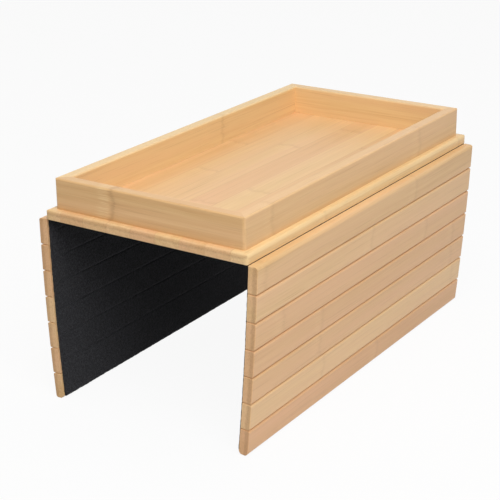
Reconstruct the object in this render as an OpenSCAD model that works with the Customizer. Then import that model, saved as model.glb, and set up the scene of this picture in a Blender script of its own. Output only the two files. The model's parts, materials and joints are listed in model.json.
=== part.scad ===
// Sofa arm tray: a bamboo tray on a base board, with a flap of felt-hinged slats down each side.
// Origin: centre of the felt face that rests on the sofa's arm.
// X runs across the arm, Y along it, Z up. Left is -X, front is -Y.

/* [Base board] */
// Length of the base board, along the sofa's arm
board_l = 360; // [260:1:460]
// Width of the base board, across the sofa's arm
board_w = 187; // [150:1:240]
// Thickness of the base board
board_t = 8; // [6:0.5:14]
// Radius of the board's upper edges and upright corners
board_round = 3; // [1:0.5:4]
// Radius of the board's lower edges
board_ease = 0.5; // [0.25:0.25:1.25]

/* [Tray] */
// Ledge of the base board left bare round the tray
ledge = 6; // [4:0.5:20]
// Height of the tray's walls
wall_h = 25; // [21:1:60]
// Thickness of the tray's walls
wall_t = 10; // [8:0.5:16]
// Radius of the walls' upper edges
wall_ease = 1.5; // [0.5:0.25:3]
// Radius of the tray's upright corners
corner_round = 2.5; // [1:0.5:5]

/* [Screws] */
// Screws up into each long wall
long_wall_screws = 3; // [2:1:6]
// Screws up into each short wall
short_wall_screws = 2; // [1:1:3]
// Distance from the tray's corners to the first screw
screw_margin = 30; // [20:1:60]
// Diameter of a screw's shank
screw_d = 3.5; // [2.5:0.5:4.5]
// Diameter of a screw's countersunk head
screw_head_d = 7; // [6:0.5:7.5]
// Length of a screw
screw_l = 25; // [16:1:26]

/* [Slats] */
// Number of slats in each flap
slat_count = 7; // [4:1:9]
// Width of a slat, down the flap
slat_w = 21.8; // [18:0.1:34]
// Thickness of a slat
slat_t = 8; // [6:0.5:12]
// Gap between one slat and the next
slat_gap = 0.2; // [0.2:0.1:1.2]
// How far the slats stop short of the board's ends
slat_inset = 1; // [0:0.5:6]
// Radius of a slat's long edges on the outer face, which form the V grooves
slat_round = 2.25; // [0.5:0.25:2.5]
// Radius of a slat's edges on the felt side
slat_ease = 0.3; // [0.2:0.1:1.5]
// Radius of a slat's edges round its ends
end_round = 1; // [0.5:0.25:2.5]
// Radius of the first slat's upper edge on the outer face
top_round = 3; // [1.5:0.25:4]
// Radius of the lowest slat's bottom edges
tip_round = 3.9; // [1.5:0.1:3.9]

/* [Felt] */
// Thickness of the felt
felt_t = 1.5; // [1:0.25:2]
// How far the felt stops short of the slats' ends and of the flap's lower edge
felt_inset = 2; // [0:0.5:8]
// Thickness that the felt is pinched to at the fold under the board
felt_pinch = 0.15; // [0.1:0.05:0.2]

/* [Hang and travel of the flaps] */
// Inward lean of the right flap's first slat, in degrees from plumb
right_lean_top = 2.5; // [0:0.1:8]
// Inward lean of the right flap's last slat
right_lean_tip = 5.2; // [0:0.1:12]
// Inward lean of the left flap's first slat
left_lean_top = 0.3; // [0:0.1:8]
// Inward lean of the left flap's last slat
left_lean_tip = 4.5; // [0:0.1:12]
// How far a flap folds in under the board, in degrees from plumb
fold_in = 75; // [50:1:78]
// How far a slat curls in on the one above it, in degrees
curl = 45; // [20:1:60]

/* [Hidden] */
$fn = 64;
LEFT = -1;
RIGHT = 1;
// Running gap from felt to felt at a fold
FELT_GAP = 0.15;
// Share of a slat's thickness that the radius of its nose may reach
NOSE_SHARE = 0.49;
// Radial gap round a screw, in the board and in the wall's pilot hole
BOARD_HOLE_GAP = 0.25;
PILOT_GAP = 0.05;
// How far a cut runs past a face, so that none ends on it
PAST = 1;

tray_l = board_l - 2 * ledge;
tray_w = board_w - 2 * ledge;
board_bottom = felt_t;
board_top = board_bottom + board_t;
slat_l = board_l - 2 * slat_inset;
felt_l = slat_l - 2 * felt_inset;
head_h = (screw_head_d - screw_d) / 2;

TRAY_NODES = ["base_board", "tray_front_wall", "tray_back_wall", "tray_left_wall",
    "tray_right_wall", "tray_screws", "board_felt"];
function side_word(side) = side == LEFT ? "left" : "right";
function slat_name(side, k) = str(side_word(side), "_slat_", k);
function felt_name(side, k) = str(side_word(side), "_felt_", k);

// Lean of slat k from plumb: it grows evenly down the flap, as the felt lets each slat hang
function lean_top(side) = side == LEFT ? left_lean_top : right_lean_top;
function lean_tip(side) = side == LEFT ? left_lean_tip : right_lean_tip;
function lean(side, k) =
    lean_top(side) + (lean_tip(side) - lean_top(side)) * (k - 1) / (slat_count - 1);

// Distance down slat k from the fold above it to the slat's top, and to the fold below it
function slat_top(k) = k == 1 ? slat_gap : slat_gap / 2;
function slat_span(k) = slat_top(k) + slat_w + slat_gap / 2;

// The fold above slat k, as [x, z] on the right side: between wood and felt
function fold(side, k) = k == 1
    ? [board_w / 2, board_bottom]
    : fold(side, k - 1) + slat_span(k - 1) * [-sin(lean(side, k - 1)), -cos(lean(side, k - 1))];

// A rectangle from the origin, with radii [lower left, lower right, upper right, upper left]
module soft_rect(size, radii) {
    w = size[0];
    h = size[1];
    a = radii[0];
    b = radii[1];
    c = radii[2];
    d = radii[3];
    polygon([[0, a], [a, 0], [w - b, 0], [w, b], [w, h - c], [w - c, h], [d, h], [0, h - d]]);
    translate([a, a]) circle(r = a);
    translate([w - b, b]) circle(r = b);
    translate([w - c, h - c]) circle(r = c);
    translate([d, h - d]) circle(r = d);
}

// Extrude a profile drawn as (x, z) along Y, and one drawn as (y, z) along X
module along_y(length) {
    rotate([90, 0, 0]) linear_extrude(height = length, center = true) children();
}
module along_x(length) {
    rotate([90, 0, 90]) linear_extrude(height = length, center = true) children();
}

// Places of the screws: rows under the middle of each wall
function spread(count, reach) =
    count == 1 ? [0] : [for (i = [0 : count - 1]) reach * (2 * i / (count - 1) - 1)];
module at_screws() {
    for (side = [-1, 1]) {
        for (y = spread(long_wall_screws, tray_l / 2 - screw_margin))
            translate([side * (tray_w - wall_t) / 2, y, board_bottom]) children();
        for (x = spread(short_wall_screws, tray_w / 2 - screw_margin))
            translate([x, side * (tray_l - wall_t) / 2, board_bottom]) children();
    }
}

// One countersunk screw, point up, its head flush with the plane z = 0
module screw_shape() {
    rotate_extrude() polygon([[0, 0], [screw_head_d / 2, 0], [screw_d / 2, head_h],
        [screw_d / 2, screw_l - screw_d / 2], [0, screw_l]]);
}

// Board: every edge eased, the upper ones more, bored and countersunk from below
module base_board() {
    edges = [board_ease, board_ease, board_round, board_round];
    corners = [board_round, board_round, board_round, board_round];
    color("burlywood") difference() {
        translate([0, 0, board_bottom]) intersection() {
            along_y(board_l) translate([-board_w / 2, 0]) soft_rect([board_w, board_t], edges);
            along_x(board_w) translate([-board_l / 2, 0]) soft_rect([board_l, board_t], edges);
            linear_extrude(board_t) translate([-board_w / 2, -board_l / 2])
                soft_rect([board_w, board_l], corners);
        }
        at_screws() screw_hole();
    }
}
module screw_hole() {
    cylinder(d = screw_d + 2 * BOARD_HOLE_GAP, h = board_t + PAST);
    cylinder(d1 = screw_head_d + 2 * BOARD_HOLE_GAP, d2 = screw_d + 2 * BOARD_HOLE_GAP, h = head_h);
    translate([0, 0, -PAST]) cylinder(d = screw_head_d + 2 * BOARD_HOLE_GAP, h = PAST);
}

// A wall on the -Y side of a tray of this length along X and this depth along Y, mitred at 45
// degrees at both ends, its top edges and its outer upright corners eased
module mitred_wall(length, depth) {
    corners = [corner_round, corner_round, corner_round, corner_round];
    edges = [wall_ease, wall_ease, wall_ease, wall_ease];
    translate([0, 0, board_top]) intersection() {
        linear_extrude(wall_h) intersection() {
            polygon([[-length / 2, -depth / 2], [length / 2, -depth / 2],
                [length / 2 - wall_t, -depth / 2 + wall_t], [-length / 2 + wall_t, -depth / 2 + wall_t]]);
            translate([-length / 2, -depth / 2]) soft_rect([length, depth], corners);
        }
        along_x(length) translate([-depth / 2, -wall_ease])
            soft_rect([wall_t, wall_h + wall_ease], edges);
    }
}
module pilot_holes() {
    at_screws() cylinder(d = screw_d + 2 * PILOT_GAP, h = screw_l + PILOT_GAP);
}
module tray_front_wall() {
    color("burlywood") difference() {
        mitred_wall(tray_w, tray_l);
        pilot_holes();
    }
}
module tray_back_wall() {
    color("burlywood") difference() {
        rotate([0, 0, 180]) mitred_wall(tray_w, tray_l);
        pilot_holes();
    }
}
module tray_left_wall() {
    color("navajowhite") difference() {
        rotate([0, 0, -90]) mitred_wall(tray_l, tray_w);
        pilot_holes();
    }
}
module tray_right_wall() {
    color("navajowhite") difference() {
        rotate([0, 0, 90]) mitred_wall(tray_l, tray_w);
        pilot_holes();
    }
}
module tray_screws() {
    color("silver") at_screws() screw_shape();
}

// Children are drawn with the fold above slat k at the origin, the wood on +X, the felt on -X
// and the slat running down -Z
module on_slat(side, k) {
    at = fold(side, k);
    mirror([side == LEFT ? 1 : 0, 0, 0]) translate([at[0], 0, at[1]]) rotate([0, lean(side, k), 0])
        children();
}

// One slat: its edges form a V groove with its neighbour's, and the last one has a blunt nose
module slat(side, k) {
    nose = min(tip_round, NOSE_SHARE * slat_t);
    low = k == slat_count ? nose : slat_ease;
    low_out = k == slat_count ? nose : slat_round;
    high_out = k == 1 ? top_round : slat_round;
    ends = [slat_ease, end_round, end_round, slat_ease];
    face = [end_round, end_round, end_round, end_round];
    color(k % 2 == 1 ? "burlywood" : "navajowhite") on_slat(side, k)
        translate([0, 0, -slat_top(k) - slat_w]) intersection() {
            along_y(slat_l) soft_rect([slat_t, slat_w], [low, low_out, high_out, slat_ease]);
            along_x(2 * slat_t) translate([-slat_l / 2, 0]) soft_rect([slat_l, slat_w], face);
            linear_extrude(slat_w) translate([0, -slat_l / 2]) soft_rect([slat_t, slat_l], ends);
        }
}

// The felt is one sheet, drawn here in strips: each is mitred at its folds, so that neighbours
// meet face to face when the slats curl in. At the board's edge it thins towards the fold.
fold_slope = tan((90 - fold_in) / 2);
thin_at = (felt_pinch + FELT_GAP) / fold_slope;
full_at = (felt_t + FELT_GAP) / fold_slope;
curl_cut = felt_t * tan(curl / 2);

module felt_strip(side, k) {
    bottom = slat_top(k) + slat_w - felt_inset;
    below = slat_span(k) - FELT_GAP;
    top_edge = k == 1
        ? [[0, -thin_at], [-felt_pinch, -thin_at], [-felt_t, -full_at]]
        : [[0, -FELT_GAP], [-felt_t, -FELT_GAP - curl_cut]];
    low_edge = k == slat_count
        ? [[-felt_t, -bottom], [0, -bottom]]
        : [[-felt_t, -below + curl_cut], [0, -below]];
    color("dimgray") on_slat(side, k) along_y(felt_l) polygon(concat(top_edge, low_edge));
}

module board_felt() {
    half = board_w / 2;
    color("dimgray") along_y(felt_l) polygon([
        [-half + full_at, 0], [half - full_at, 0],
        [half - thin_at, felt_t - felt_pinch], [half - thin_at, felt_t],
        [-half + thin_at, felt_t], [-half + thin_at, felt_t - felt_pinch]]);
}

base_board();
tray_front_wall();
tray_back_wall();
tray_left_wall();
tray_right_wall();
tray_screws();
board_felt();
for (side = [LEFT, RIGHT], k = [1 : slat_count]) {
    slat(side, k);
    felt_strip(side, k);
}
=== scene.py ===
# Sofa arm tray: a bamboo tray on a base board, with a flap of felt-hinged bamboo slats down each side.
# Metres; X runs across the sofa's arm, Y along it, Z up, from the felt face that rests on the arm.
import json
import math

import bmesh
import bpy
import numpy as np
from mathutils import Euler, Matrix, Vector, noise


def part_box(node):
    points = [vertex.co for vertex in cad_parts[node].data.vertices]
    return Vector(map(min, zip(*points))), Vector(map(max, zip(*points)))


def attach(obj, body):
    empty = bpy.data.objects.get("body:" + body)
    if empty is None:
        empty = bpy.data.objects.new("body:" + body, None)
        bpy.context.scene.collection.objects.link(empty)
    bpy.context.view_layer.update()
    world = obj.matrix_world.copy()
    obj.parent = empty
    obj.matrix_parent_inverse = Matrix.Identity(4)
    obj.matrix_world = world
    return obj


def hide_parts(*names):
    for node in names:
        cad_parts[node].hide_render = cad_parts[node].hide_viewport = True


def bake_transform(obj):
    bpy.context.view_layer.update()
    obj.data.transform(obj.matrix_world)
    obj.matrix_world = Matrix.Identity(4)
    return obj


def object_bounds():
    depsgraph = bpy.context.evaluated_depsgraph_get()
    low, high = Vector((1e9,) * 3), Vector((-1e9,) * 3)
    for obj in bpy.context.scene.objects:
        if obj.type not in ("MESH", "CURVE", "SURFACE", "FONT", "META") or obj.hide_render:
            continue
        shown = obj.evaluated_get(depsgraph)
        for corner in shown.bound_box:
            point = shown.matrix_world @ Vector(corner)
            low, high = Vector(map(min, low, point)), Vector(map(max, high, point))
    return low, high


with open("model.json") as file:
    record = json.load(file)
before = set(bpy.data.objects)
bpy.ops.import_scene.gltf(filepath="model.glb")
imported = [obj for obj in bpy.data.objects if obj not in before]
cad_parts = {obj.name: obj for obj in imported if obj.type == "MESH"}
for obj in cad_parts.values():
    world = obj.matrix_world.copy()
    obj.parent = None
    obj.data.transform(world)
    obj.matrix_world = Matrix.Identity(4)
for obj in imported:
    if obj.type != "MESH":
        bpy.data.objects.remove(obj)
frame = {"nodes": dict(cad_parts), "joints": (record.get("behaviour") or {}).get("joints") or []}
cad_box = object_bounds()
nodes = frame["nodes"]
scene = bpy.context.scene
MM = 0.001

# Camera, at the photograph's viewpoint: it looks down at the near right corner through a long lens.
# The picture's own framing needs no shift.
camera = bpy.data.objects.new("camera", bpy.data.cameras.new("camera"))
scene.collection.objects.link(camera)
scene.camera = camera
eye_place = Vector((0.6042, -0.9525, 0.3653))
eye_azimuth, eye_elevation, eye_roll = (math.radians(a) for a in (33.35, 20.80, -0.50))
turn = Euler((math.pi / 2 - eye_elevation, 0, eye_azimuth)).to_matrix() @ Matrix.Rotation(eye_roll, 3, "Z")
camera.location = eye_place
camera.rotation_euler = turn.to_euler()
camera.data.lens = 101.4
camera.data.sensor_width = 36.0
camera.data.clip_start = 0.05
camera.data.clip_end = 20.0

# Studio: a pale floor under the flaps' lower edges, a white room, and large soft lamps.
# To the camera and in glossy reflections the surroundings are white; the floor keeps a little shadow.
scene.view_settings.view_transform = "Standard"


def add_node(tree, kind, inputs=None, **settings):
    """A node with its settings, its inputs given as values or as the sockets that feed them."""
    made = tree.nodes.new(kind)
    for name, value in settings.items():
        setattr(made, name, value)
    for name, value in (inputs or {}).items():
        if isinstance(value, bpy.types.NodeSocket):
            tree.links.new(value, made.inputs[name])
        else:
            made.inputs[name].default_value = value
    return made


def maths(tree, operation, a, b=0.0, c=0.0, clamp=False):
    """The output of one Math node."""
    made = add_node(tree, "ShaderNodeMath", {0: a, 1: b, 2: c}, operation=operation, use_clamp=clamp)
    return made.outputs[0]


def seen_white(tree):
    """1 for camera rays and for what glossy and clear surfaces reflect, else 0."""
    path = add_node(tree, "ShaderNodeLightPath")
    either = maths(tree, "MAXIMUM", path.outputs["Is Camera Ray"], path.outputs["Is Glossy Ray"])
    return maths(tree, "MAXIMUM", either, path.outputs["Is Transmission Ray"])


ROOM_LIGHT = 0.25
FLOOR_WHITE = 0.93

world = bpy.data.worlds.new("white room")
scene.world = world
world.use_nodes = True
room = world.node_tree
room.nodes.clear()
lit = add_node(room, "ShaderNodeBackground", {"Color": (1, 1, 1, 1), "Strength": ROOM_LIGHT})
seen = add_node(room, "ShaderNodeBackground", {"Color": (1, 1, 1, 1), "Strength": 1.0})
either = add_node(room, "ShaderNodeMixShader", {0: seen_white(room), 1: lit.outputs[0], 2: seen.outputs[0]})
add_node(room, "ShaderNodeOutputWorld", {"Surface": either.outputs[0]})

floor_z = cad_box[0].z - 0.2 * MM
floor_mesh = bpy.data.meshes.new("studio_floor")
reach = 6.0
floor_corners = [(-reach, -reach), (reach, -reach), (reach, reach), (-reach, reach)]
floor_mesh.from_pydata([(x, y, floor_z) for x, y in floor_corners], [], [(0, 1, 2, 3)])
floor = bpy.data.objects.new("studio_floor", floor_mesh)
scene.collection.objects.link(floor)
paper = bpy.data.materials.new("white paper")
paper.use_nodes = True
tree = paper.node_tree
tree.nodes.clear()
matt = add_node(tree, "ShaderNodeBsdfDiffuse", {"Color": (0.80, 0.80, 0.80, 1)})
glow = add_node(tree, "ShaderNodeEmission", {"Color": (1, 1, 1, 1), "Strength": 1.0})
share = maths(tree, "MULTIPLY", seen_white(tree), FLOOR_WHITE)
either = add_node(tree, "ShaderNodeMixShader", {0: share, 1: matt.outputs[0], 2: glow.outputs[0]})
add_node(tree, "ShaderNodeOutputMaterial", {"Surface": either.outputs[0]})
floor_mesh.materials.append(paper)


def soft_lamp(name, place, aim, width, height, watts):
    """A rectangular area lamp that faces aim."""
    lamp = bpy.data.objects.new(name, bpy.data.lights.new(name, "AREA"))
    scene.collection.objects.link(lamp)
    lamp.data.shape = "RECTANGLE"
    lamp.data.size, lamp.data.size_y = width, height
    lamp.data.energy = watts
    lamp.location = place
    lamp.rotation_euler = (Vector(aim) - Vector(place)).to_track_quat("-Z", "Y").to_euler()
    return lamp


soft_lamp("lamp_key", (0.70, -0.70, 1.10), (0, 0, -0.03), 1.0, 1.0, 15.4)
soft_lamp("lamp_overhead", (0, 0, 1.40), (0, 0, 0), 1.2, 1.2, 5.4)

# Bamboo: flat-sawn strips of culm wall, glued and lacquered satin. Long fibres run with the grain, every
# strip has its own tone, and a faint knuckle crosses it where the culm had a node. The end grain is pale
# on the culm's inner side and brown where the fibres crowd under its skin.
HONEY = (0.66, 0.37, 0.145, 1)
STRAW = (0.90, 0.65, 0.33, 1)
PEACH = (0.84, 0.49, 0.27, 1)
UMBER = (0.30, 0.13, 0.045, 1)
KNUCKLE_GAP = 0.235


def mixed(tree, factor, a, b, blend="MIX"):
    """The colour output of one Mix node."""
    made = add_node(tree, "ShaderNodeMix", data_type="RGBA", blend_type=blend)
    for socket, value in ((made.inputs[0], factor), (made.inputs[6], a), (made.inputs[7], b)):
        if isinstance(value, bpy.types.NodeSocket):
            tree.links.new(value, socket)
        else:
            socket.default_value = value
    return made.outputs[2]


def ramp_between(tree, value, low, high, to_low=0.0, to_high=1.0):
    """A smooth step of value between low and high."""
    inputs = {"Value": value, "From Min": low, "From Max": high, "To Min": to_low, "To Max": to_high}
    return add_node(tree, "ShaderNodeMapRange", inputs, interpolation_type="SMOOTHSTEP").outputs[0]


def stretched_noise(tree, place, scale, seed, detail=2.0):
    """Noise with its own scale along, across and through the grain, in cells per metre."""
    spread = add_node(tree, "ShaderNodeMapping", {"Vector": place, "Scale": scale})
    inputs = {"Vector": spread.outputs[0], "W": seed, "Scale": 1.0, "Detail": detail}
    return add_node(tree, "ShaderNodeTexNoise", inputs, noise_dimensions="4D").outputs[0]


def make_bamboo_grain():
    """The node group: place is along, across and through the grain from the strip's middle."""
    tree = bpy.data.node_groups.new("bamboo grain", "ShaderNodeTree")
    faces = tree.interface
    faces.new_socket("Place", in_out="INPUT", socket_type="NodeSocketVector")
    for name in ("Seed", "Knuckle", "Knuckle depth", "Lightness", "Warmth", "End grain"):
        faces.new_socket(name, in_out="INPUT", socket_type="NodeSocketFloat")
    faces.new_socket("Color", in_out="OUTPUT", socket_type="NodeSocketColor")
    faces.new_socket("Roughness", in_out="OUTPUT", socket_type="NodeSocketFloat")
    faces.new_socket("Height", in_out="OUTPUT", socket_type="NodeSocketFloat")
    given = tree.nodes.new("NodeGroupInput").outputs
    place, seed, depth = given["Place"], given["Seed"], given["Knuckle depth"]
    along, across, through = add_node(tree, "ShaderNodeSeparateXYZ", {0: place}).outputs

    # distance along the grain to the nearest knuckle, whose line wanders and frays
    drift = maths(tree, "SUBTRACT", stretched_noise(tree, place, (20, 90, 90), seed), 0.5)
    fray = maths(tree, "SUBTRACT", stretched_noise(tree, place, (60, 900, 900), seed), 0.5)
    from_knuckle = maths(tree, "SUBTRACT", along, given["Knuckle"])
    from_knuckle = maths(tree, "MULTIPLY_ADD", drift, 16 * MM, from_knuckle)
    from_knuckle = maths(tree, "MULTIPLY_ADD", fray, 7 * MM, from_knuckle)
    from_knuckle = maths(tree, "WRAP", from_knuckle, KNUCKLE_GAP / 2, -KNUCKLE_GAP / 2)
    off_knuckle = maths(tree, "ABSOLUTE", from_knuckle)
    near_knuckle = ramp_between(tree, off_knuckle, 1 * MM, 9 * MM, 1.0, 0.0)
    knuckle_line = ramp_between(tree, off_knuckle, 0.0, 3.4 * MM, 1.0, 0.0)
    pale_side = maths(tree, "MULTIPLY", ramp_between(tree, from_knuckle, -16 * MM, -9 * MM),
                      ramp_between(tree, from_knuckle, -5 * MM, -2 * MM, 1.0, 0.0))
    dark_side = maths(tree, "MULTIPLY", ramp_between(tree, from_knuckle, -1 * MM, 1 * MM),
                      ramp_between(tree, from_knuckle, 1 * MM, 9 * MM, 1.0, 0.0))

    # the fibres waver, and swirl round a knuckle
    waver = maths(tree, "SUBTRACT", stretched_noise(tree, place, (9, 30, 30), seed), 0.5)
    swirl = maths(tree, "SUBTRACT", stretched_noise(tree, place, (140, 200, 200), seed), 0.5)
    swirl = maths(tree, "MULTIPLY", swirl, near_knuckle)
    across = maths(tree, "MULTIPLY_ADD", waver, 3 * MM, across)
    across = maths(tree, "MULTIPLY_ADD", swirl, 4 * MM, across)
    grain = add_node(tree, "ShaderNodeCombineXYZ", {0: along, 1: across, 2: through}).outputs[0]

    fibre = stretched_noise(tree, grain, (28, 1900, 1900), seed, 2.5)
    streak = stretched_noise(tree, grain, (7, 330, 330), seed, 2.0)
    broad = stretched_noise(tree, grain, (4, 62, 62), seed, 1.5)
    vein = ramp_between(tree, stretched_noise(tree, grain, (16, 1150, 1150), seed, 1.0), 0.56, 0.74)

    tone = maths(tree, "MULTIPLY_ADD", broad, 0.55, given["Lightness"])
    tone = maths(tree, "MULTIPLY_ADD", streak, 0.75, tone)
    tone = maths(tree, "MULTIPLY_ADD", fibre, 0.55, tone)
    tone = maths(tree, "SUBTRACT", tone, 0.925, clamp=True)
    color = mixed(tree, tone, HONEY, STRAW)
    blush = maths(tree, "MULTIPLY_ADD", maths(tree, "SUBTRACT", broad, 0.5), 1.2, given["Warmth"], clamp=True)
    color = mixed(tree, blush, color, PEACH)
    color = mixed(tree, maths(tree, "MULTIPLY", vein, 0.16), color, UMBER)
    combed = maths(tree, "MULTIPLY", pale_side, ramp_between(tree, fibre, 0.44, 0.60, 0.1, 1.0))
    color = mixed(tree, maths(tree, "MULTIPLY", combed, depth), color, STRAW)
    stain = maths(tree, "MULTIPLY", knuckle_line, 0.42)
    stain = maths(tree, "MULTIPLY_ADD", dark_side, 0.14, stain)
    color = mixed(tree, maths(tree, "MULTIPLY", stain, depth), color, UMBER)

    # end grain: dots of fibre ends, crowding and darkening towards the culm's skin
    ripple = maths(tree, "SUBTRACT", stretched_noise(tree, grain, (30, 160, 160), seed, 1.0), 0.5)
    depth_in = maths(tree, "MULTIPLY_ADD", ripple, 2.5 * MM, through)
    skin = ramp_between(tree, depth_in, -1.4 * MM, 0.9 * MM, 0.34, 0.06)
    dots = stretched_noise(tree, grain, (20, 1300, 1300), seed, 1.0)
    dots = ramp_between(tree, dots, 0.50, 0.62, 0.0, 0.16)
    ends = mixed(tree, maths(tree, "ADD", skin, dots), color, UMBER)
    color = mixed(tree, given["End grain"], color, ends)

    roughness = maths(tree, "MULTIPLY_ADD", streak, 0.16, 0.36)
    roughness = maths(tree, "MULTIPLY_ADD", given["End grain"], 0.15, roughness)
    height = maths(tree, "MULTIPLY_ADD", vein, -0.8, fibre)
    height = maths(tree, "MULTIPLY_ADD", maths(tree, "MULTIPLY", near_knuckle, depth), 0.6, height)
    out = tree.nodes.new("NodeGroupOutput")
    for name, value in (("Color", color), ("Roughness", roughness), ("Height", height)):
        tree.links.new(value, out.inputs[name])
    return tree


bamboo_grain = make_bamboo_grain()


def bamboo(name, middle, along, across, seed, knuckle=0.0, depth=0.25, lightness=0.5, warmth=0.3,
           strips=None):
    """A bamboo finish. middle is the piece's middle, along and across are the grain's own axes, and
    strips is a panel's strip width with each strip's (knuckle, lightness, warmth)."""
    made = bpy.data.materials.new(name)
    made.use_nodes = True
    tree = made.node_tree
    tree.nodes.clear()
    along, across = Vector(along).normalized(), Vector(across).normalized()
    axes = Matrix((along, across, along.cross(across)))
    where = add_node(tree, "ShaderNodeTexCoord")
    place = add_node(tree, "ShaderNodeMapping", {
        "Vector": where.outputs["Object"], "Location": -(axes @ Vector(middle)),
        "Rotation": axes.to_euler()}).outputs[0]
    facing = add_node(tree, "ShaderNodeVectorMath", {0: where.outputs["Normal"], 1: along},
                      operation="DOT_PRODUCT")
    end_grain = ramp_between(tree, maths(tree, "ABSOLUTE", facing.outputs["Value"]), 0.55, 0.9)
    grain = add_node(tree, "ShaderNodeGroup", {}, node_tree=bamboo_grain)
    tree.links.new(place, grain.inputs["Place"])
    tree.links.new(end_grain, grain.inputs["End grain"])
    facts = {"Seed": seed, "Knuckle": knuckle, "Knuckle depth": depth, "Lightness": lightness,
             "Warmth": warmth}
    for socket, value in facts.items():
        grain.inputs[socket].default_value = value
    color = grain.outputs["Color"]
    if strips:
        width, facts = strips
        offset = add_node(tree, "ShaderNodeSeparateXYZ", {0: place}).outputs[1]
        number = maths(tree, "MULTIPLY_ADD", offset, 1 / width, len(facts) / 2)
        chart = add_node(tree, "ShaderNodeValToRGB", {0: maths(tree, "DIVIDE", number, len(facts))})
        chart.color_ramp.interpolation = "CONSTANT"
        stops = chart.color_ramp.elements
        for i, (at, light, warm) in enumerate(facts):
            stop = stops[i] if i < 2 else stops.new(i / len(facts))
            stop.position = i / len(facts)
            stop.color = (at + 0.5, light, warm, 1)
        told = add_node(tree, "ShaderNodeSeparateColor", {0: chart.outputs[0]}).outputs
        tree.links.new(maths(tree, "SUBTRACT", told[0], 0.5), grain.inputs["Knuckle"])
        tree.links.new(told[1], grain.inputs["Lightness"])
        tree.links.new(told[2], grain.inputs["Warmth"])
        own_seed = maths(tree, "MULTIPLY_ADD", maths(tree, "FLOOR", number), 3.7, seed)
        tree.links.new(own_seed, grain.inputs["Seed"])
        seam = maths(tree, "PINGPONG", number, 0.5)
        seam = ramp_between(tree, seam, 0.0, 0.45 * MM / width, 0.22, 0.0)
        color = mixed(tree, seam, color, UMBER)
    bump = add_node(tree, "ShaderNodeBump", {
        "Strength": 0.35, "Distance": 0.12 * MM, "Height": grain.outputs["Height"]})
    wood = add_node(tree, "ShaderNodeBsdfPrincipled", {
        "Base Color": color, "Roughness": grain.outputs["Roughness"], "Normal": bump.outputs[0],
        "IOR": 1.46, "Coat Weight": 0.12, "Coat Roughness": 0.30})
    add_node(tree, "ShaderNodeOutputMaterial", {"Surface": wood.outputs[0]})
    return made


def finish_with(name, material):
    """Gives a CAD node its finish."""
    nodes[name].material_slots[0].material = material


# Base board: one panel of strips glued side by side, planed to 8 mm, its upper edges rounded.
# Its top is the tray's floor, and the walls stand on it inside a narrow ledge.
BOARD_STRIP = 22.5 * MM
BOARD_STRIPS = [
    (-0.08, 0.70, 0.15), (0.05, 0.40, 0.35), (-0.03, 0.55, 0.25), (0.066, 0.62, 0.30), (-0.10, 0.46, 0.55),
    (-0.056, 0.66, 0.20), (0.09, 0.50, 0.40), (0.00, 0.58, 0.30), (-0.07, 0.90, 0.10)]
low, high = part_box("base_board")
board_finish = bamboo("bamboo board", (low + high) / 2, (0, 1, 0), (1, 0, 0), 1.0, depth=0.22,
                      strips=(BOARD_STRIP, BOARD_STRIPS))
finish_with("base_board", board_finish)

# Tray walls: four strips on edge, mitred and glued at the corners, screwed from below.
# Each is one flat-sawn strip of bamboo, with its knuckles where they fell.
WALLS = {
    "tray_front_wall": ((1, 0, 0), 11.0, -0.033, 0.55, 0.34, 0.22),
    "tray_back_wall": ((1, 0, 0), 12.0, 0.080, 0.18, 0.85, 0.15),
    "tray_left_wall": ((0, 1, 0), 13.0, 0.041, 0.25, 0.95, 0.10),
    "tray_right_wall": ((0, 1, 0), 14.0, 0.098, 0.20, 0.54, 0.32),
}
for name, (along, seed, knuckle, depth, lightness, warmth) in WALLS.items():
    low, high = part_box(name)
    finish_with(name, bamboo(name.replace("_", " "), (low + high) / 2, along, (0, 0, 1), seed, knuckle,
                             depth, lightness, warmth))

# Slats: seven to a flap, each one flat-sawn strip of bamboo with eased edges, glued to the felt.
# Their tones differ from one to the next, and each leans as the felt lets it hang.
SLATS = 7
SIDES = {"left": -1, "right": 1}
SLAT_LOOKS = [
    (0.068, 0.46, 0.25), (-0.006, 0.66, 0.35), (0.094, 0.46, 0.55), (0.154, 0.36, 0.50),
    (-0.082, 0.48, 0.55), (0.161, 0.90, 0.40), (0.020, 0.20, 0.55)]
SLAT_KNUCKLE_DEPTH = 0.15
joint_place = {j["name"]: Vector(j["pos_m"]) for j in frame["joints"]}


def fold_name(side, k):
    """The joint above slat k."""
    return f"{side}_flap_fold" if k == 1 else f"{side}_slat_{k}_fold"


def slat_down(side, k):
    """The direction down slat k, from its fold to the next. The last slat turns on as the one above."""
    at = [joint_place[fold_name(side, i)] for i in (k, k + 1) if i <= SLATS]
    if len(at) == 2:
        return (at[1] - at[0]).normalized()
    above, before = slat_down(side, k - 1), slat_down(side, k - 2)
    return (above + (above - before)).normalized()


for side in SIDES:
    for k in range(1, SLATS + 1):
        name = f"{side}_slat_{k}"
        low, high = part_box(name)
        knuckle, lightness, warmth = SLAT_LOOKS[k - 1] if side == "right" else SLAT_LOOKS[(3 * k) % SLATS]
        seed = 20.0 + 2 * k + (side == "left") * 31
        finish_with(name, bamboo(name.replace("_", " "), (low + high) / 2, (0, 1, 0),
                                 slat_down(side, k) * SIDES[side], seed, knuckle, SLAT_KNUCKLE_DEPTH,
                                 lightness, warmth))

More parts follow.
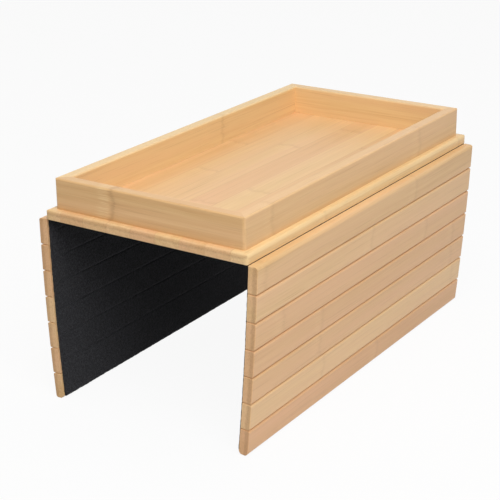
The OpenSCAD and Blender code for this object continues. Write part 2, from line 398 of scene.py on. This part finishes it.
# Felt: one sheet of black needle felt, 1.5 mm thick, glued under the board and down the inside of both
# flaps, so that it is every slat's hinge. It is drawn in strips that meet at the middle of each slat, and
# each strip is drawn bent at the fold it crosses, as the flaps hang. Beside the board's edge it is squeezed
# thin.
FELT = 1.5 * MM
FELT_HALF_LENGTH = 177 * MM
FELT_STEP = 2 * MM
BOARD_FELT_HALF = 80.5 * MM
SQUEEZE_SLOPE = math.tan(math.radians(7.5))
SQUEEZE_GAP = 0.15 * MM
SQUEEZED = 0.18 * MM
FOLD_REACH = 1.0 * MM
FOLD_ROWS = (-2, -1.4, -1, -0.7, -0.45, -0.2, 0, 0.2, 0.45, 0.7, 1, 1.4, 2)
CREASE = 0.04 * MM
LAST_FELT = 19.9 * MM


def make_felt():
    """Black needle felt: tangled fibres on a soft lumpy face, their strands painted lighter as a painted
    highlight of fibres catching the light.
    """
    made = bpy.data.materials.new("black needle felt")
    made.use_nodes = True
    tree = made.node_tree
    tree.nodes.clear()
    where = add_node(tree, "ShaderNodeTexCoord").outputs["UV"]
    bent = add_node(tree, "ShaderNodeTexNoise", {"Vector": where, "Scale": 700.0, "Detail": 2.0})
    offset = add_node(tree, "ShaderNodeVectorMath", {0: bent.outputs[1], 1: (0.5, 0.5, 0.5)},
                      operation="SUBTRACT")
    offset = add_node(tree, "ShaderNodeVectorMath", {0: offset.outputs[0], "Scale": 3 * MM},
                      operation="SCALE")
    tangled = add_node(tree, "ShaderNodeVectorMath", {0: where, 1: offset.outputs[0]},
                       operation="ADD").outputs[0]
    clump = add_node(tree, "ShaderNodeTexNoise", {"Vector": tangled, "Scale": 650.0, "Detail": 3.0})
    clump = clump.outputs[0]
    patch = add_node(tree, "ShaderNodeTexNoise", {"Vector": where, "Scale": 90.0, "Detail": 2.0}).outputs[0]
    strands = []
    for turned, scale in ((0.5, (300, 4200, 1)), (1.7, (360, 4800, 1)), (2.7, (280, 4500, 1))):
        laid = add_node(tree, "ShaderNodeMapping", {"Vector": tangled, "Rotation": (0, 0, turned)}).outputs[0]
        strand = stretched_noise(tree, laid, scale, turned, 1.0)
        strands.append(ramp_between(tree, strand, 0.60, 0.72))
    fibres = maths(tree, "MAXIMUM", maths(tree, "MAXIMUM", strands[0], strands[1]), strands[2])
    tone = ramp_between(tree, clump, 0.40, 0.62)
    tone = maths(tree, "MULTIPLY_ADD", patch, 0.30, maths(tree, "MULTIPLY", tone, 0.7))
    color = mixed(tree, tone, (0.0040, 0.0040, 0.0048, 1), (0.034, 0.034, 0.039, 1))
    # painted highlight: the strands are painted lighter in the base colour, as fibres that catch the light
    color = mixed(tree, maths(tree, "MULTIPLY", fibres, 0.40), color, (0.085, 0.085, 0.092, 1))
    height = maths(tree, "MULTIPLY_ADD", fibres, 0.5, clump)
    bump = add_node(tree, "ShaderNodeBump", {"Strength": 0.9, "Distance": 0.25 * MM, "Height": height})
    cloth = add_node(tree, "ShaderNodeBsdfPrincipled", {
        "Base Color": color, "Roughness": 0.92, "Normal": bump.outputs[0], "Specular IOR Level": 0.25,
        "Sheen Weight": 0.08, "Sheen Roughness": 0.6, "Sheen Tint": (0.7, 0.7, 0.75, 1)})
    add_node(tree, "ShaderNodeOutputMaterial", {"Surface": cloth.outputs[0]})
    return made


felt_finish = make_felt()


def felt_line(side):
    """The glued face's corners as (x, z), from the board's middle to the felt's lower edge, and how far
    along each is."""
    folds = [joint_place[fold_name(side, k)] for k in range(1, SLATS + 1)]
    corners = [Vector((0, folds[0].z))] + [Vector((p.x, p.z)) for p in folds]
    last = slat_down(side, SLATS)
    corners.append(corners[-1] + Vector((last.x, last.z)) * LAST_FELT)
    steps = [(b - a).length for a, b in zip(corners, corners[1:])]
    return corners, np.concatenate([[0.0], np.cumsum(steps)])


def felt_piece(name, side, start, end):
    """A closed strip of felt between two distances from the board's middle, along the glued face."""
    corners, marks = felt_line(side)
    inward = SIDES[side]
    rows = set(np.linspace(start, end, max(2, round((end - start) / FELT_STEP) + 1)))
    for mark in marks[1:-1]:
        rows |= {mark + d * FOLD_REACH for d in FOLD_ROWS if start < mark + d * FOLD_REACH < end}
    rows = sorted(rows)
    rows = [s for i, s in enumerate(rows) if i == 0 or s - rows[i - 1] > 0.1 * MM]
    across = np.linspace(-FELT_HALF_LENGTH, FELT_HALF_LENGTH, round(2 * FELT_HALF_LENGTH / FELT_STEP) + 1)

    glued, inner, chart = [], [], []
    for s in rows:
        part = min(int(np.searchsorted(marks, abs(s), side="right")) - 1, len(corners) - 2)
        a, b = corners[part], corners[part + 1]
        down = (b - a).normalized()
        at = a + down * (abs(s) - marks[part])
        at = Vector((math.copysign(1, s) * at.x, at.y))
        out = Vector((-down.y, down.x)) * -inward
        thick = min(FELT, max(SQUEEZED, abs(abs(s) - marks[1]) * SQUEEZE_SLOPE - SQUEEZE_GAP))
        for i, mark in enumerate(marks[1:-1]):
            if abs(abs(s) - mark) < 0.02 * MM:
                before = (corners[i + 1] - corners[i]).normalized()
                after = (corners[i + 2] - corners[i + 1]).normalized()
                both = (Vector((-before.y, before.x)) + Vector((-after.y, after.x))) * -inward
                out = both / (both.length_squared / 2)
            if i > 0:
                thick -= CREASE * math.exp(-(((abs(s) - mark) / (0.8 * MM)) ** 2))
        for y in across:
            edge = max(0.0, 1 - (FELT_HALF_LENGTH - abs(y)) / (3 * MM))
            ragged = (noise.noise((s * 500 + inward * 9, y * 20, 3.7)) * 0.35 * MM
                      + noise.noise((s * 1400, y, 8.1)) * 0.2 * MM)
            y_here = y + edge * ragged
            s_edge = max(0.0, 1 - (marks[-1] - abs(s)) / (2.5 * MM))
            fall = Vector((down.x, down.y)) * s_edge * noise.noise((y * 600, inward * 5.0, 1.3)) * 0.3 * MM
            lump = (noise.noise((s * 260, y * 260, inward * 2.0)) * 0.07 * MM
                    + noise.noise((s * 60, y * 60, 5.0)) * 0.05 * MM)
            face = at + fall + out * max(0.12 * MM, thick + lump * thick / FELT)
            glued.append((at.x + fall.x, y_here, at.y + fall.y))
            inner.append((face.x, y_here, face.y))
            chart.append((s, y))
    n, m = len(rows), len(across)
    grid = [(i * m + j, i * m + j + 1, (i + 1) * m + j + 1, (i + 1) * m + j)
            for i in range(n - 1) for j in range(m - 1)]
    top = n * m
    quads = grid + [tuple(top + v for v in reversed(q)) for q in grid]
    smooth = len(quads)
    for j in (0, m - 1):
        quads += [(i * m + j, (i + 1) * m + j, top + (i + 1) * m + j, top + i * m + j) for i in range(n - 1)]
    for i in (0, n - 1):
        quads += [(i * m + j, i * m + j + 1, top + i * m + j + 1, top + i * m + j) for j in range(m - 1)]
    mesh = bpy.data.meshes.new(name)
    mesh.from_pydata(glued + inner, [], quads)
    mesh.polygons.foreach_set("use_smooth", [i < smooth for i in range(len(quads))])
    # the glued face's chart is a felt's thickness wider all round, so that no cut edge is smeared
    chart = np.array(chart)
    beside = chart * (1 + FELT / FELT_HALF_LENGTH)
    both = np.concatenate([beside + (FELT, 0), chart])
    corners_of = np.zeros(len(mesh.loops), int)
    mesh.loops.foreach_get("vertex_index", corners_of)
    mesh.uv_layers.new(name="felt").data.foreach_set("uv", both[corners_of].astype(np.float32).ravel())
    form = bmesh.new()
    form.from_mesh(mesh)
    bmesh.ops.recalc_face_normals(form, faces=form.faces)
    form.to_mesh(mesh)
    form.free()
    mesh.materials.append(felt_finish)
    made = bpy.data.objects.new(name, mesh)
    scene.collection.objects.link(made)
    return made


under_board = felt_piece("felt_under_board", "right", -BOARD_FELT_HALF, BOARD_FELT_HALF)
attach(under_board, "tray")
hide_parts("board_felt")

for side in SIDES:
    corners, marks = felt_line(side)
    seams = [BOARD_FELT_HALF] + [(a + b) / 2 for a, b in zip(marks[1:], marks[2:-1])] + [marks[-1]]
    for k in range(1, SLATS + 1):
        strip = felt_piece(f"felt_{side}_{k}", side, seams[k - 1], seams[k])
        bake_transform(strip)
        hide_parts(f"{side}_felt_{k}")

# Screws: ten countersunk wood screws with cross recesses, zinc plated, driven up through the board into
# the walls. The felt covers their heads. One screw is drawn and the others repeat it, each turned its
# own way.
SCREW_LONG, SCREW_CORE, SCREW_CREST, SCREW_HEAD = 25 * MM, 1.15 * MM, 1.72 * MM, 3.45 * MM
SCREW_HEAD_DEEP = 1.75 * MM
SCREW_PITCH = 1.3 * MM
SCREW_PLACES = [(x, y, 1.5 * MM) for x in (-82.5 * MM, 82.5 * MM) for y in (-144 * MM, 0, 144 * MM)]
SCREW_PLACES += [(x, y, 1.5 * MM) for x in (-57.5 * MM, 57.5 * MM) for y in (-169 * MM, 169 * MM)]


def screw_radius(z, angle):
    """Radius of the screw at height z from the head's face: cone, plain shank, then thread and point."""
    if z < SCREW_HEAD_DEEP:
        return SCREW_HEAD + (SCREW_CREST - SCREW_HEAD) * z / SCREW_HEAD_DEEP
    if z < 7 * MM:
        return SCREW_CREST
    turn = (z / SCREW_PITCH - angle / (2 * math.pi)) % 1
    crest = max(0.0, 1 - abs(turn - 0.5) * 5)
    taper = min(1.0, (SCREW_LONG - z) / (4 * MM))
    started = min(1.0, (z - 7 * MM) / (1 * MM))
    core = SCREW_CREST + (SCREW_CORE - SCREW_CREST) * started
    return (core + (SCREW_CREST - core) * crest) * (0.04 + 0.96 * taper)


def make_screw():
    """One screw's mesh, point up, with its cross recess open downward."""
    turns = 32
    heights = [0.0, SCREW_HEAD_DEEP] + list(np.linspace(1.9 * MM, SCREW_LONG, 150))
    form = bmesh.new()
    rings = []
    for z in heights:
        angles = [2 * math.pi * i / turns for i in range(turns)]
        radii = [screw_radius(z, a) for a in angles]
        rings.append([form.verts.new((r * math.cos(a), r * math.sin(a), z)) for r, a in zip(radii, angles)])
    # the head's face: a cross, 0.5 mm half wide and 1.9 mm long, sunk 1.4 mm
    cross = []
    for i in range(turns):
        a = 2 * math.pi * i / turns
        dx, dy = abs(math.cos(a)), abs(math.sin(a))
        reach = min(1.9 * MM, 0.5 * MM / max(min(dx, dy), 1e-6)) if min(dx, dy) > 0.22 else 1.9 * MM
        cross.append((reach * math.cos(a), reach * math.sin(a)))
    brim = [form.verts.new((x, y, 0)) for x, y in cross]
    foot = [form.verts.new((0.45 * x, 0.45 * y, 1.4 * MM)) for x, y in cross]
    loops = [foot, brim] + rings
    for a, b in zip(loops, loops[1:]):
        for i in range(turns):
            form.faces.new((a[i], a[(i + 1) % turns], b[(i + 1) % turns], b[i]))
    form.faces.new(foot)
    form.faces.new(list(reversed(rings[-1])))
    bmesh.ops.recalc_face_normals(form, faces=form.faces)
    mesh = bpy.data.meshes.new("screw")
    form.to_mesh(mesh)
    form.free()
    return mesh


def make_zinc():
    """Zinc plating: bright, faintly blue, with a dull bloom in patches and turning marks."""
    made = bpy.data.materials.new("zinc plating")
    made.use_nodes = True
    tree = made.node_tree
    tree.nodes.clear()
    where = add_node(tree, "ShaderNodeTexCoord").outputs["Object"]
    bloom = add_node(tree, "ShaderNodeTexNoise", {"Vector": where, "Scale": 900.0, "Detail": 3.0}).outputs[0]
    turned = stretched_noise(tree, where, (300, 300, 9000), 0.3, 1.0)
    color = mixed(tree, bloom, (0.56, 0.57, 0.60, 1), (0.70, 0.70, 0.69, 1))
    rough = maths(tree, "MULTIPLY_ADD", bloom, 0.25, 0.22)
    bump = add_node(tree, "ShaderNodeBump", {"Strength": 0.3, "Distance": 0.03 * MM, "Height": turned})
    metal = add_node(tree, "ShaderNodeBsdfPrincipled", {
        "Base Color": color, "Roughness": rough, "Metallic": 1.0, "Normal": bump.outputs[0]})
    add_node(tree, "ShaderNodeOutputMaterial", {"Surface": metal.outputs[0]})
    return made


zinc = make_zinc()
pattern = bpy.data.objects.new("screw_pattern", make_screw())
scene.collection.objects.link(pattern)
places = bpy.data.meshes.new("wood_screws")
places.from_pydata(SCREW_PLACES, [], [])
wood_screws = bpy.data.objects.new("wood_screws", places)
scene.collection.objects.link(wood_screws)

repeat = bpy.data.node_groups.new("screws in their places", "GeometryNodeTree")
repeat.interface.new_socket("Geometry", in_out="INPUT", socket_type="NodeSocketGeometry")
repeat.interface.new_socket("Geometry", in_out="OUTPUT", socket_type="NodeSocketGeometry")
given = repeat.nodes.new("NodeGroupInput").outputs[0]
one = add_node(repeat, "GeometryNodeObjectInfo", {"Object": pattern})
spin = add_node(repeat, "FunctionNodeRandomValue", {"Seed": 4}, data_type="FLOAT")
spin.inputs[3].default_value = 2 * math.pi
turned = add_node(repeat, "ShaderNodeCombineXYZ", {2: spin.outputs[1]})
sown = add_node(repeat, "GeometryNodeInstanceOnPoints", {
    "Points": given, "Instance": one.outputs["Geometry"], "Rotation": turned.outputs[0]})
real = add_node(repeat, "GeometryNodeRealizeInstances", {0: sown.outputs[0]})
smooth = add_node(repeat, "GeometryNodeSetShadeSmooth", {0: real.outputs[0]})
painted = add_node(repeat, "GeometryNodeSetMaterial", {"Geometry": smooth.outputs[0], "Material": zinc})
repeat.links.new(painted.outputs[0], repeat.nodes.new("NodeGroupOutput").inputs[0])
grow = wood_screws.modifiers.new("screws", "NODES")
grow.node_group = repeat
bpy.context.view_layer.update()
grown = bpy.data.meshes.new_from_object(wood_screws.evaluated_get(bpy.context.evaluated_depsgraph_get()))
wood_screws.modifiers.clear()
wood_screws.data = grown
grown.set_sharp_from_angle(angle=math.radians(35))
bpy.data.objects.remove(pattern)
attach(wood_screws, "tray")
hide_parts("tray_screws")
